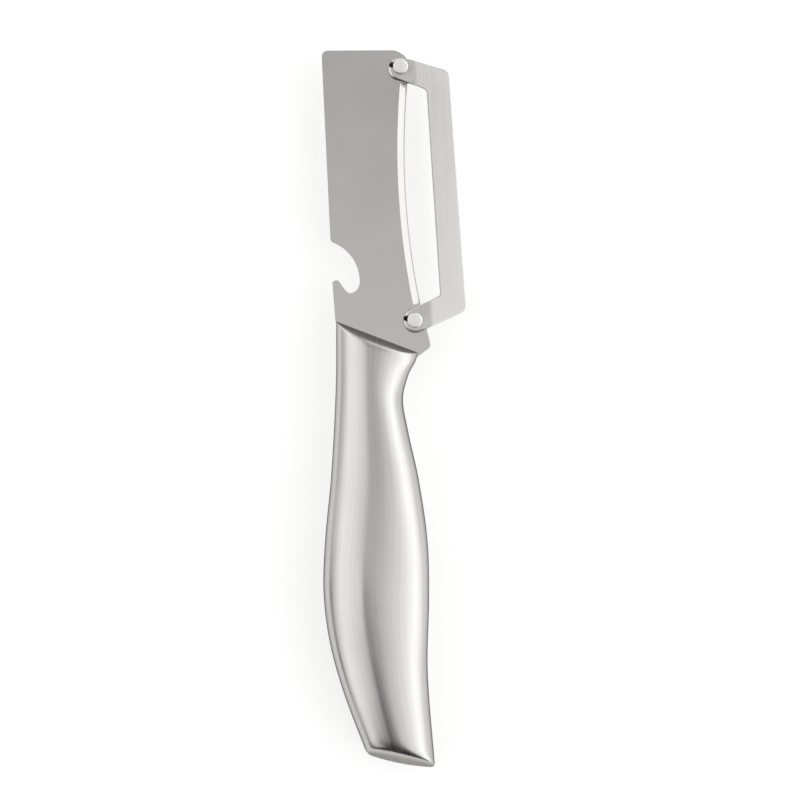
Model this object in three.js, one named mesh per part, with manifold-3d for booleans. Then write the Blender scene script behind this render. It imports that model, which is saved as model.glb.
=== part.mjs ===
// A peeling knife of stainless steel, lying on its back with its guard side up.
// A flat cleaver blade carries a bottle opener notch in its spine and a ground, hollowed edge opposite.
// A peel guard hooks under two headed rivets beside that edge and slides off them sideways.
// The handle is two pressed half shells that close on the blade's tang.
//
// Lengths are in millimetres and angles in degrees. The parts are drawn in the blade's own frame:
// x runs across from the spine, y runs from the handle's mouth to the tip, z runs to the front,
// and z = 0 is the blade's middle plane, where the two handle shells meet.
import * as THREE from "three";
import { mergeVertices } from "three/addons/utils/BufferGeometryUtils.js";
import Module from "manifold-3d";

const wasm = await Module();
wasm.setup();

// Blade plate
const PLATE_THICKNESS = 1.5;
const BLADE_LENGTH = 78.8;
const TIP_WIDTH = 25.5;
const TIP_DROP = 0.7;
const TIP_SPINE_RADIUS = 1.8;
const TIP_EDGE_RADIUS = 4.6;
const HEEL_FLARE = 2.4;
const HEEL_DEPTH = 9.2;
const HEEL_RADIUS = 1.5;
const HEEL_TOE_DEPTH = 11.5;

// Cutting edge, hollowed and bevelled by one grinding wheel that runs out under the guard's ears
const EDGE_HOLLOW = 2.8;
const EDGE_WAIST_AT = 38.5;
const EDGE_RADIUS = 227;
const EDGE_RUN_OUT = 4.7;
const EDGE_LAND = 0.12;
const BEVEL_WIDTH = 2.1;

// Bottle opener notch in the spine
const NOTCH_TOP = 23;
const NOTCH_TOP_RADIUS = 1;
const NOTCH_SWEEP_RADIUS = 12.5;
const NOTCH_POCKET_RADIUS = 2.9;
const NOTCH_POCKET_INSET = 5.1;
const NOTCH_POCKET_AT = 10.8;
const HOOK_RADIUS = 0.8;
const HOOK_TIP_AT = 10.75;

// Tang inside the handle
const TANG_LEFT = 4;
const TANG_WIDTH = 11;
const TANG_LENGTH = 46;
const TANG_END_RADIUS = 3;
const TANG_SHOULDER_RADIUS = 0.5;

// Rivets
const UPPER_RIVET_INSET = 2.6;
const UPPER_RIVET_DROP = 5.9;
const LOWER_RIVET_INSET = 4.3;
const LOWER_RIVET_DEPTH = 1.3;
const RIVET_HEAD_DIAMETER = 4.4;
const RIVET_HEAD_HEIGHT = 1.2;
const RIVET_HEAD_DOME = 0.3;
const RIVET_NECK_DIAMETER = 1.5;
const RIVET_SHANK_DIAMETER = 2.4;
const RIVET_TAIL_DIAMETER = 3.8;
const RIVET_TAIL_HEIGHT = 0.7;

// Peel guard
const GUARD_THICKNESS = 1;
const GUARD_BEND = 10;
const GUARD_BEND_INSET = 3.6;
const BAR_TOP_WIDTH = 7;
const BAR_BOTTOM_WIDTH = 7.55;
const BAR_TOP_DROP = 1.6;
const BAR_BOTTOM_RISE = 2.2;
const BAR_OUTER_RADIUS = 2.2;
const THROAT_TOP_WIDTH = 4.7;
const THROAT_BOTTOM_WIDTH = 5.95;
const THROAT_TOP_DROP = 6.7;
const THROAT_BOTTOM_RISE = 6.75;
const THROAT_RADIUS = 1;
const EAR_REACH = 3.5;
const UPPER_EAR_TILT = -17.5;
const LOWER_EAR_TILT = 22.5;
const UPPER_EAR_HALF_WIDTH = 3.25;
const LOWER_EAR_HALF_WIDTH = 3.6;
const UPPER_EAR_DROP = 0.55;
const EAR_ROUNDNESS = 0.97;
const SLOT_RISE = 15;

// Handle: lines that run down from the mouth, each as [distance from the mouth, offset]
const MOUTH_TILT = 23.6;
const HANDLE_LENGTH = 126.6;
const BUTT_TILT = 13.8;
const BUTT_BOW = 0.8;
const SPINE_SIDE = [[0, 0.6], [20, -0.5], [45, -3], [65, -5.8], [80, -6.9], [95, -5.65], [110, -2.15],
  [130, 4.45]];
const FINGER_SIDE = [[9, 24.5], [13, 23.3], [17, 21], [24, 19.05], [33, 20], [48, 22.55], [66, 24.25],
  [82, 23.95], [104, 22.5], [132, 23.3]];
const CREST_LINE = [[0, 10.3], [25, 8.7], [50, 7.6], [78, 4.2], [100, 6.2], [130, 12]];
const CREST_HEIGHT = [[0, 6.8], [25, 7.2], [75, 8.6], [110, 7.8], [132, 6.9]];
const SHELL_WALL = 0.9;
const MOUTH_DRAFT = 18;
const BUTT_DRAFT = 28;
const MOUTH_CORNER_RADIUS = 1;
const BUTT_CORNER_RADIUS = 1.4;
const SPINE_SIDE_CROWN = 1.3;
const FINGER_SIDE_CROWN = 2.1;
const RIM_ROUNDNESS = 2.2;
const MOUTH_SHARPNESS = 8;
const BUTT_SHARPNESS = 5;

// Clearances
const SEAT_GAP = 0.15;
const SLIDE_GAP = 0.1;
const SEAM_GAP = 0.05;

// Facet counts
const SHELL_ROWS = 34;
const SPINE_SIDE_COLUMNS = 9;
const FINGER_SIDE_COLUMNS = 13;
const BEND_FOLDS = 3;
const BEND_STEP = 0.5;
const ROUND_SEGMENTS = 28;
const WHEEL_SEGMENTS = 400;
const CURVE_STEPS = 10;
const SETTLING_TURNS = 12;

// How far a cutting shape runs past what it cuts
const SPILL = 5;

const radians = THREE.MathUtils.degToRad;
const slope = (degrees) => Math.tan(radians(degrees));

// Places that follow from the sizes above
const heelWidth = TIP_WIDTH + HEEL_FLARE;
const upperRivet = [TIP_WIDTH - UPPER_RIVET_INSET, BLADE_LENGTH - UPPER_RIVET_DROP];
const lowerRivet = [heelWidth - LOWER_RIVET_INSET, -LOWER_RIVET_DEPTH];
const edgeHighEnd = upperRivet[1] - EDGE_RUN_OUT;
const edgeLowEnd = lowerRivet[1] + EDGE_RUN_OUT;
const throatTop = [TIP_WIDTH + THROAT_TOP_WIDTH, upperRivet[1] - THROAT_TOP_DROP];
const throatBottom = [TIP_WIDTH + THROAT_BOTTOM_WIDTH, lowerRivet[1] + THROAT_BOTTOM_RISE];
const guardBack = PLATE_THICKNESS / 2 + SLIDE_GAP;
const guardFront = guardBack + GUARD_THICKNESS;
const headSeat = guardFront + SLIDE_GAP;

const steel = {
  satin: new THREE.MeshStandardMaterial({ color: 0xa8a7a2, roughness: 0.38, metalness: 1 }),
  brushed: new THREE.MeshStandardMaterial({ color: 0xc4c2bd, roughness: 0.32, metalness: 1 }),
  bright: new THREE.MeshStandardMaterial({ color: 0xd6d5d0, roughness: 0.2, metalness: 1 }),
};

// Solids: closed geometry goes in, and joined or cut geometry comes out.
function solidOf(geometry) {
  const bare = geometry.clone();
  bare.deleteAttribute("normal");
  bare.deleteAttribute("uv");
  const merged = mergeVertices(bare, 1e-4);
  return new wasm.Manifold(
    new wasm.Mesh({
      numProp: 3,
      vertProperties: merged.attributes.position.array,
      triVerts: new Uint32Array(merged.index.array),
    }),
  );
}

function geometryOf(solid) {
  const mesh = solid.getMesh();
  const geometry = new THREE.BufferGeometry();
  geometry.setAttribute("position", new THREE.BufferAttribute(mesh.vertProperties, 3));
  geometry.setIndex(new THREE.BufferAttribute(mesh.triVerts, 1));
  geometry.computeVertexNormals();
  return geometry;
}

function box(low, high) {
  const size = new THREE.Vector3().subVectors(high, low);
  const centre = new THREE.Vector3().addVectors(low, high).multiplyScalar(0.5);
  return new THREE.BoxGeometry(size.x, size.y, size.z).translate(centre.x, centre.y, centre.z);
}

// A round bar along z between two heights.
function pin(radius, [x, y], low, high) {
  const geometry = new THREE.CylinderGeometry(radius, radius, high - low, ROUND_SEGMENTS);
  return geometry.rotateX(Math.PI / 2).translate(x, y, (low + high) / 2);
}

function plate(shape, low, high) {
  const options = { depth: high - low, bevelEnabled: false, curveSegments: CURVE_STEPS };
  return new THREE.ExtrudeGeometry(shape, options).translate(0, 0, low);
}

// Draws a path through corners given as [x, y, radius], each rounded by its own arc, or sharp at radius 0.
function roundCorners(path, corners) {
  for (const [before, [x, y, radius], after] of corners) {
    if (radius === 0) {
      path.lineTo(x, y);
      continue;
    }
    const corner = new THREE.Vector2(x, y);
    const inward = new THREE.Vector2(before[0] - x, before[1] - y).normalize();
    const outward = new THREE.Vector2(after[0] - x, after[1] - y).normalize();
    const half = Math.acos(THREE.MathUtils.clamp(inward.dot(outward), -1, 1)) / 2;
    const run = radius / Math.tan(half);
    const start = corner.clone().addScaledVector(inward, run);
    const turn = Math.sign(outward.cross(inward));
    const middle = inward.clone().add(outward).normalize();
    const centre = corner.clone().addScaledVector(middle, radius / Math.sin(half));
    const end = corner.clone().addScaledVector(outward, run);
    const from = Math.atan2(start.y - centre.y, start.x - centre.x);
    const to = Math.atan2(end.y - centre.y, end.x - centre.x);
    path.lineTo(start.x, start.y);
    path.absarc(centre.x, centre.y, radius, from, to, turn < 0);
  }
}

// Groups a run of corners with the neighbours that set each corner's directions.
function withNeighbours(points) {
  return points.slice(1, -1).map((point, i) => [points[i], point, points[i + 2]]);
}

function closedOutline(corners) {
  const shape = new THREE.Shape();
  const last = corners[corners.length - 1];
  const middle = [(last[0] + corners[0][0]) / 2, (last[1] + corners[0][1]) / 2];
  shape.moveTo(middle[0], middle[1]);
  roundCorners(shape, withNeighbours([last, ...corners, corners[0]]));
  shape.closePath();
  return shape;
}

// Where the mouth and the butt of the handle lie across the width.
const mouthAt = (x) => -x * slope(MOUTH_TILT);

function buttAt(x) {
  const left = follow(SPINE_SIDE, HANDLE_LENGTH);
  const right = follow(FINGER_SIDE, HANDLE_LENGTH);
  const across = (2 * x - left - right) / (right - left);
  return -HANDLE_LENGTH - x * slope(BUTT_TILT) - BUTT_BOW * (1 - across * across);
}

// Smooth value of a line of [distance, offset] points at a distance.
function follow(line, at) {
  const last = line.length - 2;
  let i = line.findIndex((point) => point[0] > at) - 1;
  if (i < 0) i = at < line[0][0] ? 0 : last;
  const tangent = (k) => {
    const a = line[Math.max(k - 1, 0)];
    const b = line[Math.min(k + 1, line.length - 1)];
    return (b[1] - a[1]) / (b[0] - a[0]);
  };
  const span = line[i + 1][0] - line[i][0];
  const t = (at - line[i][0]) / span;
  const near = (1 + 2 * t) * (1 - t) ** 2 * line[i][1] + t * (1 - t) ** 2 * span * tangent(i);
  const far = t * t * (3 - 2 * t) * line[i + 1][1] + t * t * (t - 1) * span * tangent(i + 1);
  return near + far;
}

// Blade: one stamped plate with the notch, the tang and two rivet holes.
function notchPath(shape) {
  const pocket = new THREE.Vector2(NOTCH_POCKET_INSET, NOTCH_POCKET_AT);
  // The sweep is a large arc that starts at the spine and runs tangent into the pocket.
  const reach = NOTCH_SWEEP_RADIUS - NOTCH_POCKET_RADIUS;
  const sweepCentre = sweepCentreBeside(pocket, reach);
  const start = Math.asin((NOTCH_TOP - sweepCentre.y) / NOTCH_SWEEP_RADIUS);
  const meet = Math.atan2(pocket.y - sweepCentre.y, pocket.x - sweepCentre.x);
  // The hook's inner flank is the line tangent to the pocket and to the round hook tip.
  const hook = new THREE.Vector2(HOOK_RADIUS, HOOK_TIP_AT);
  const gap = hook.clone().sub(pocket);
  const lean = Math.acos((NOTCH_POCKET_RADIUS + HOOK_RADIUS) / gap.length());
  const flank = Math.atan2(gap.y, gap.x) + lean;
  const along = [Math.sin(start), NOTCH_TOP - Math.cos(start)];
  const lipRun = NOTCH_TOP_RADIUS * Math.tan(start / 2);
  roundCorners(shape, [[[0, BLADE_LENGTH], [0, NOTCH_TOP, NOTCH_TOP_RADIUS], along]]);
  const lipEnd = start - lipRun / NOTCH_SWEEP_RADIUS;
  shape.absarc(sweepCentre.x, sweepCentre.y, NOTCH_SWEEP_RADIUS, lipEnd, meet, true);
  shape.absarc(pocket.x, pocket.y, NOTCH_POCKET_RADIUS, meet, flank, true);
  shape.absarc(hook.x, hook.y, HOOK_RADIUS, flank - Math.PI, Math.PI, false);
}

// Centre of the sweep: level with the pocket's tangent, so that the arc meets the spine at the notch's top.
function sweepCentreBeside(pocket, reach) {
  const top = new THREE.Vector2(0, NOTCH_TOP);
  const chord = top.clone().sub(pocket);
  const distance = chord.length();
  const along = (distance ** 2 + reach ** 2 - NOTCH_SWEEP_RADIUS ** 2) / (2 * distance);
  const across = Math.sqrt(Math.max(reach ** 2 - along ** 2, 0));
  const unit = chord.normalize();
  const square = new THREE.Vector2(-unit.y, unit.x);
  return pocket.clone().addScaledVector(unit, along).addScaledVector(square, across);
}

function bladeOutline() {
  const seat = (x) => mouthAt(x) + SEAT_GAP;
  const tangRight = TANG_LEFT + TANG_WIDTH;
  const toe = FINGER_SIDE[0][1];
  const tangEnd = -TANG_LENGTH;
  const shape = new THREE.Shape();
  shape.moveTo(0, BLADE_LENGTH / 2);
  notchPath(shape);
  const corners = [
    [0, NOTCH_POCKET_AT, 0],
    [0, seat(0), 0],
    [TANG_LEFT, seat(TANG_LEFT), TANG_SHOULDER_RADIUS],
    [TANG_LEFT, tangEnd, TANG_END_RADIUS],
    [tangRight, tangEnd, TANG_END_RADIUS],
    [tangRight, seat(tangRight), TANG_SHOULDER_RADIUS],
    [toe, seat(toe), 0],
    [toe, -HEEL_TOE_DEPTH, 0],
    [heelWidth, -HEEL_DEPTH, HEEL_RADIUS],
    [TIP_WIDTH, edgeLowEnd, 0],
    [TIP_WIDTH, BLADE_LENGTH - TIP_DROP, TIP_EDGE_RADIUS],
    [0, BLADE_LENGTH, TIP_SPINE_RADIUS],
    [0, BLADE_LENGTH / 2, 0],
  ];
  roundCorners(shape, withNeighbours(corners));
  shape.closePath();
  return shape;
}

// The wheel that hollows the edge and leaves the bevel: a cone whose rim passes through the cutting edge.
function grindingWheel() {
  const back = -PLATE_THICKNESS / 2;
  const overshoot = (BEVEL_WIDTH * SPILL) / (PLATE_THICKNESS - EDGE_LAND);
  const profile = [
    new THREE.Vector2(0, back - SPILL),
    new THREE.Vector2(EDGE_RADIUS, back - SPILL),
    new THREE.Vector2(EDGE_RADIUS, back + EDGE_LAND),
    new THREE.Vector2(EDGE_RADIUS + BEVEL_WIDTH + overshoot, PLATE_THICKNESS / 2 + SPILL),
    new THREE.Vector2(0, PLATE_THICKNESS / 2 + SPILL),
  ];
  const wheel = new THREE.LatheGeometry(profile, WHEEL_SEGMENTS).rotateX(Math.PI / 2);
  wheel.translate(TIP_WIDTH - EDGE_HOLLOW + EDGE_RADIUS, EDGE_WAIST_AT, 0);
  const low = new THREE.Vector3(0, edgeLowEnd, -SPILL);
  const high = new THREE.Vector3(heelWidth + TIP_WIDTH, edgeHighEnd, SPILL);
  return solidOf(wheel).intersect(solidOf(box(low, high)));
}

function bladeSolid() {
  const half = PLATE_THICKNESS / 2;
  const hole = RIVET_SHANK_DIAMETER / 2 + SLIDE_GAP;
  let blade = solidOf(plate(bladeOutline(), -half, half)).subtract(grindingWheel());
  for (const rivet of [upperRivet, lowerRivet]) {
    blade = blade.subtract(solidOf(pin(hole, rivet, -half - SPILL, half + SPILL)));
  }
  return blade;
}

// Rivets: a peened tail, a shank through the plate, a thin neck for the guard's slot, and a low domed head.
function rivetGeometry([x, y]) {
  const half = PLATE_THICKNESS / 2;
  const tail = -half - RIVET_TAIL_HEIGHT;
  const crown = headSeat + RIVET_HEAD_HEIGHT;
  const rim = RIVET_HEAD_DIAMETER / 2;
  const profile = [
    new THREE.Vector2(0, tail),
    new THREE.Vector2(RIVET_TAIL_DIAMETER / 4, tail + RIVET_TAIL_HEIGHT * 0.12),
    new THREE.Vector2(RIVET_TAIL_DIAMETER / 2.5, tail + RIVET_TAIL_HEIGHT * 0.45),
    new THREE.Vector2(RIVET_TAIL_DIAMETER / 2, -half),
    new THREE.Vector2(RIVET_SHANK_DIAMETER / 2, -half),
    new THREE.Vector2(RIVET_SHANK_DIAMETER / 2, half),
    new THREE.Vector2(RIVET_NECK_DIAMETER / 2, half),
    new THREE.Vector2(RIVET_NECK_DIAMETER / 2, headSeat),
    new THREE.Vector2(rim, headSeat),
    new THREE.Vector2(rim, crown - RIVET_HEAD_DOME * 2),
    new THREE.Vector2(rim - RIVET_HEAD_DOME, crown - RIVET_HEAD_DOME),
    new THREE.Vector2(rim / 2, crown - RIVET_HEAD_DOME * 0.25),
    new THREE.Vector2(0, crown),
  ];
  return new THREE.LatheGeometry(profile, ROUND_SEGMENTS).rotateX(Math.PI / 2).translate(x, y, 0);
}

// Peel guard: a flat strip with two ears, slotted for the rivet necks, then bent along one line.
function earCorners([x, y], tilt, halfWidth, drop) {
  const along = new THREE.Vector2(Math.cos(radians(tilt)), Math.sin(radians(tilt)));
  const across = new THREE.Vector2(-along.y, along.x);
  const end = new THREE.Vector2(x, y).addScaledVector(along, -EAR_REACH).addScaledVector(across, -drop);
  const round = halfWidth * EAR_ROUNDNESS;
  const upper = end.clone().addScaledVector(across, halfWidth);
  const lower = end.clone().addScaledVector(across, -halfWidth);
  return { upper: [upper.x, upper.y, round], lower: [lower.x, lower.y, round] };
}

function guardOutline() {
  const upperEar = earCorners(upperRivet, UPPER_EAR_TILT, UPPER_EAR_HALF_WIDTH, UPPER_EAR_DROP);
  const lowerEar = earCorners(lowerRivet, LOWER_EAR_TILT, LOWER_EAR_HALF_WIDTH, 0);
  return closedOutline([
    [throatTop[0] + BAR_TOP_WIDTH, upperRivet[1] - BAR_TOP_DROP, BAR_OUTER_RADIUS],
    upperEar.upper,
    upperEar.lower,
    [...throatTop, THROAT_RADIUS],
    [...throatBottom, THROAT_RADIUS],
    lowerEar.upper,
    lowerEar.lower,
    [throatBottom[0] + BAR_BOTTOM_WIDTH, lowerRivet[1] + BAR_BOTTOM_RISE, BAR_OUTER_RADIUS],
  ]);
}

// The slot runs from the rivet out through the end of its ear, so the guard leaves the opposite way.
function slotSolid(rivet) {
  const radius = RIVET_NECK_DIAMETER / 2 + SLIDE_GAP;
  const length = EAR_REACH + SPILL;
  const low = new THREE.Vector3(-length, -radius, -SPILL);
  const high = new THREE.Vector3(0, radius, SPILL);
  const channel = box(low, high).rotateZ(-radians(SLOT_RISE)).translate(rivet[0], rivet[1], 0);
  return solidOf(channel).add(solidOf(pin(radius, rivet, -SPILL, SPILL)));
}

// Folds the part of a flat solid beyond the bend line down by equal turns, hinged on its front face.
function bendDown(flat) {
  const lean = Math.atan2(throatBottom[0] - throatTop[0], throatTop[1] - throatBottom[1]);
  const reach = BLADE_LENGTH + HANDLE_LENGTH;
  const step = GUARD_THICKNESS * BEND_STEP;
  const toLine = new THREE.Matrix4()
    .makeTranslation(throatBottom[0] - GUARD_BEND_INSET, throatBottom[1], guardFront)
    .multiply(new THREE.Matrix4().makeRotationZ(lean));
  const fromLine = toLine.clone().invert();
  const fold = new THREE.Matrix4();
  let bent = null;
  for (let i = 0; i <= BEND_FOLDS; i += 1) {
    const from = i === 0 ? -reach : (i - 1) * step;
    const to = i === BEND_FOLDS ? reach : i * step;
    if (i > 0) fold.multiply(turnAbout(from, radians(GUARD_BEND) / BEND_FOLDS));
    const strip = box(new THREE.Vector3(from, -reach, -reach), new THREE.Vector3(to, reach, reach));
    const piece = geometryOf(flat.intersect(solidOf(strip.applyMatrix4(toLine))));
    piece.applyMatrix4(toLine.clone().multiply(fold).multiply(fromLine));
    bent = bent ? bent.add(solidOf(piece)) : solidOf(piece);
  }
  return bent;
}

// A turn about the line along y at an offset in x.
function turnAbout(offset, angle) {
  return new THREE.Matrix4()
    .makeTranslation(offset, 0, 0)
    .multiply(new THREE.Matrix4().makeRotationY(angle))
    .multiply(new THREE.Matrix4().makeTranslation(-offset, 0, 0));
}

function guardSolid() {
  let flat = solidOf(plate(guardOutline(), guardBack, guardFront));
  for (const rivet of [upperRivet, lowerRivet]) {
    flat = flat.subtract(slotSolid(rivet));
  }
  return bendDown(flat);
}

// Handle shells: a skin lofted across rows that turn from the mouth's slant to the butt's.
// Each section rises from both sides to a soft crest, and drafted walls close it at the mouth and the butt.
function softLeast(a, b, sharpness) {
  if (a <= 0 || b <= 0) return 0;
  return (a ** -sharpness + b ** -sharpness) ** (-1 / sharpness);
}

function cornerInset(radius, distance) {
  const short = Math.max(radius - distance, 0);
  return radius - Math.sqrt(radius * radius - short * short);
}

// One point of the skin. Its fall goes from 0 on the crest to 1 on the rim of the spine or finger side,
// and it is set in from the outer surface by a distance.
function skinPoint(line, fall, along, inset) {
  const mouth = (x) => mouthAt(x) - inset / Math.cos(radians(MOUTH_TILT));
  const butt = (x) => buttAt(x) + inset / Math.cos(radians(BUTT_TILT));
  const level = (x) => THREE.MathUtils.lerp(mouth(x), butt(x), along);
  const fromMouth = (x) => (mouth(x) - level(x)) * Math.cos(radians(MOUTH_TILT));
  const fromButt = (x) => (level(x) - butt(x)) * Math.cos(radians(BUTT_TILT));
  const trim = (x) => inset
    + cornerInset(MOUTH_CORNER_RADIUS, fromMouth(x))
    + cornerInset(BUTT_CORNER_RADIUS, fromButt(x));
  const sign = line === SPINE_SIDE ? 1 : -1;
  let rim = line[0][1];
  let crest = CREST_LINE[0][1];
  for (let turn = 0; turn < SETTLING_TURNS; turn += 1) {
    rim = follow(line, -level(rim)) + sign * trim(rim);
    crest = follow(CREST_LINE, -level(crest));
  }
  const x = THREE.MathUtils.lerp(crest, rim, fall);
  const crown = line === SPINE_SIDE ? SPINE_SIDE_CROWN : FINGER_SIDE_CROWN;
  const rise = (1 - fall ** crown) ** (1 / RIM_ROUNDNESS);
  const section = (follow(CREST_HEIGHT, -level(x)) - inset) * rise;
  const closed = softLeast(section, fromMouth(x) / slope(MOUTH_DRAFT), MOUTH_SHARPNESS);
  const z = softLeast(closed, fromButt(x) / slope(BUTT_DRAFT), BUTT_SHARPNESS);
  return new THREE.Vector3(x, level(x), z);
}

// Columns of the skin from rim to rim, closest together where the sides turn over.
function skinColumns() {
  const columns = [];
  for (let i = 0; i < SPINE_SIDE_COLUMNS; i += 1) {
    columns.push([SPINE_SIDE, Math.cos((Math.PI / 2) * (i / SPINE_SIDE_COLUMNS))]);
  }
  for (let i = FINGER_SIDE_COLUMNS; i >= 0; i -= 1) {
    columns.push([FINGER_SIDE, Math.cos((Math.PI / 2) * (i / FINGER_SIDE_COLUMNS))]);
  }
  return columns;
}

function shellGeometry(side) {
  const across = skinColumns();
  const rows = SHELL_ROWS;
  const columns = across.length - 1;
  const positions = [];
  const index = [];
  for (const inset of [0, SHELL_WALL]) {
    for (let r = 0; r <= rows; r += 1) {
      const along = (1 - Math.cos((Math.PI * r) / rows)) / 2;
      for (const [line, fall] of across) {
        const point = skinPoint(line, fall, along, inset);
        positions.push(point.x, point.y, side * (point.z + SEAM_GAP / 2));
      }
    }
  }
  const layer = (rows + 1) * (columns + 1);
  const quad = (a, b, c, d) => (side > 0 ? index.push(a, b, c, a, c, d) : index.push(a, c, b, a, d, c));
  const at = (r, c) => r * (columns + 1) + c;
  for (let r = 0; r < rows; r += 1) {
    for (let c = 0; c < columns; c += 1) {
      quad(at(r, c), at(r + 1, c), at(r + 1, c + 1), at(r, c + 1));
      quad(layer + at(r, c), layer + at(r, c + 1), layer + at(r + 1, c + 1), layer + at(r + 1, c));
    }
  }
  const rim = [];
  for (let c = 0; c < columns; c += 1) rim.push(at(0, c));
  for (let r = 0; r < rows; r += 1) rim.push(at(r, columns));
  for (let c = columns; c > 0; c -= 1) rim.push(at(rows, c));
  for (let r = rows; r > 0; r -= 1) rim.push(at(r, 0));
  rim.forEach((a, i) => {
    const b = rim[(i + 1) % rim.length];
    quad(a, b, layer + b, layer + a);
  });
  const geometry = new THREE.BufferGeometry();
  geometry.setAttribute("position", new THREE.Float32BufferAttribute(positions, 3));
  geometry.setIndex(index);
  return geometry;
}

// Each shell is notched at the mouth, where the tang and its shoulder fillets pass between the two.
function shellSolid(side) {
  const half = PLATE_THICKNESS / 2 + SEAT_GAP;
  const room = TANG_SHOULDER_RADIUS + SEAT_GAP;
  const low = new THREE.Vector3(TANG_LEFT - room, -TANG_LENGTH - SEAT_GAP, -half);
  const high = new THREE.Vector3(TANG_LEFT + TANG_WIDTH + room, SPILL, half);
  return solidOf(shellGeometry(side)).subtract(solidOf(box(low, high)));
}

// Assembly
const peeler = new THREE.Group();

function addPiece(name, geometry, material) {
  const mesh = new THREE.Mesh(geometry, material);
  mesh.name = name;
  peeler.add(mesh);
}

addPiece("blade_plate", geometryOf(bladeSolid()), steel.satin);
addPiece("upper_rivet", rivetGeometry(upperRivet), steel.bright);
addPiece("lower_rivet", rivetGeometry(lowerRivet), steel.bright);
addPiece("peel_guard", geometryOf(guardSolid()), steel.satin);
addPiece("front_handle_shell", geometryOf(shellSolid(1)), steel.brushed);
addPiece("rear_handle_shell", geometryOf(shellSolid(-1)), steel.brushed);

// The part's origin is the middle of its footprint, on the surface that it lies on.
const extent = new THREE.Box3().setFromObject(peeler, true);
const middle = extent.getCenter(new THREE.Vector3());
peeler.position.set(-middle.x, -middle.y, -extent.min.z);

const assembly = new THREE.Group();
assembly.add(peeler);

export default assembly;
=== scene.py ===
"""Looks of an all-steel peeling knife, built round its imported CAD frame.

Lengths in the class fields are in millimetres, in the maker's own frame: x runs from the blade's spine
towards the peel guard, y runs from the handle's mouth towards the blade's tip, and z runs from the blade's
middle plane to the front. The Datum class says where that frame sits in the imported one, which is in metres.
Angles in the class fields are in degrees.
"""

from __future__ import annotations

import logging
import math
from dataclasses import dataclass
from enum import Enum

import bmesh
import bpy
from bmesh.types import BMEdge, BMesh, BMFace, BMLayerItem, BMVert
from bpy.types import Material, Node, NodeSocket, NodeTree, Object
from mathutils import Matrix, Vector
from mathutils.geometry import intersect_line_line


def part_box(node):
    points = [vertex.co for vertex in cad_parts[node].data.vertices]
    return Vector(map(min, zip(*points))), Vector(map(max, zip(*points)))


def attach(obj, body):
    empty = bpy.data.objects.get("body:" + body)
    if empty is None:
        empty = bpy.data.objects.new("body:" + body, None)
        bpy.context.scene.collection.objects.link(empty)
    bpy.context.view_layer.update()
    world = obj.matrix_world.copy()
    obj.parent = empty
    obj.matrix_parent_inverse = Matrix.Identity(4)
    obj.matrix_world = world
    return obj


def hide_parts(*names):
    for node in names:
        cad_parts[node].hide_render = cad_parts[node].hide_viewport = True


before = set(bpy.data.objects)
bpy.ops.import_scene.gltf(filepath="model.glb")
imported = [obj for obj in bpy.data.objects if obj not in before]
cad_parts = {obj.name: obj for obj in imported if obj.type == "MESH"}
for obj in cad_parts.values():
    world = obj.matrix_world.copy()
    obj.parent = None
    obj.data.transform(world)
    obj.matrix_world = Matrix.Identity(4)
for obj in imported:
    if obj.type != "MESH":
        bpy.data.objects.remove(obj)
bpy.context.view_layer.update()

LOG = logging.getLogger("peeling_knife")
MM = 0.001
SLOT_AXIS = Vector((-0.965926, 0.258819, 0.0))
WHITE = (1.0, 1.0, 1.0, 1.0)

Colour = tuple[float, float, float]
Line = tuple[tuple[float, float], ...]
Ramp = tuple[float, float, float, float]
Way = tuple[NodeSocket, NodeSocket, NodeSocket]
Value = NodeSocket | float


class Body(Enum):
    """The bodies of the knife that pieces ride on."""

    KNIFE = "knife"
    GUARD = "guard"


class Slot(Enum):
    """The record's material slots."""

    BLADE = "blade_steel"
    GUARD = "guard_steel"
    RIVET = "rivet_steel"
    HANDLE = "handle_steel"


class GrainSource(Enum):
    """What the grinder's lines follow on a piece."""

    PLACE = "the piece's own coordinates"
    SKIN = "the skin's own map"


class Side(Enum):
    """The knife's two sides: the one with the guard, and the other."""

    FRONT = 1
    REAR = -1


def slope(angle: float) -> float:
    """Gives the tangent of an angle in degrees."""
    return math.tan(math.radians(angle))


def hump(height: float, middle: float, half_width: float, at: float) -> float:
    """Gives how high a rounded hump stands at one place."""
    return height * max(1 - ((at - middle) / half_width) ** 2, 0.0)


def soft_least(first: float, second: float, sharpness: float) -> float:
    """Gives the smaller of two lengths, blended where they are close.

    Args:
        first: One length.
        second: The other length.
        sharpness: How tight the blend is.

    Returns:
        The blended length, or 0 if either isn't positive.
    """
    if first <= 0 or second <= 0:
        return 0.0
    return (first**-sharpness + second**-sharpness) ** (-1 / sharpness)


def corner_inset(radius: float, distance: float) -> float:
    """Gives how far a rounded corner stands back at a distance from the edge that it turns into."""
    short = min(max(radius - distance, 0.0), radius)
    return radius - math.sqrt(radius * radius - short * short)


def follow(line: Line, at: float) -> float:
    """Follows a line of points with smooth cubic pieces.

    Args:
        line: Points as distance and offset.
        at: Distance at which the offset is wanted.

    Returns:
        The offset.
    """
    index = next((place for place, point in enumerate(line) if point[0] > at), len(line)) - 1
    index = min(max(index, 0), len(line) - 2)

    def tangent(place: int) -> float:
        """Gives the slope at a point from its neighbours."""
        before = line[max(place - 1, 0)]
        after = line[min(place + 1, len(line) - 1)]
        return (after[1] - before[1]) / (after[0] - before[0])

    (start, near), (end, far) = line[index : index + 2]
    span = end - start
    part = (at - start) / span
    from_near = (1 + 2 * part) * (1 - part) ** 2 * near + part * (1 - part) ** 2 * span * tangent(index)
    from_far = part * part * (3 - 2 * part) * far + part * part * (part - 1) * span * tangent(index + 1)
    return from_near + from_far


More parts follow.
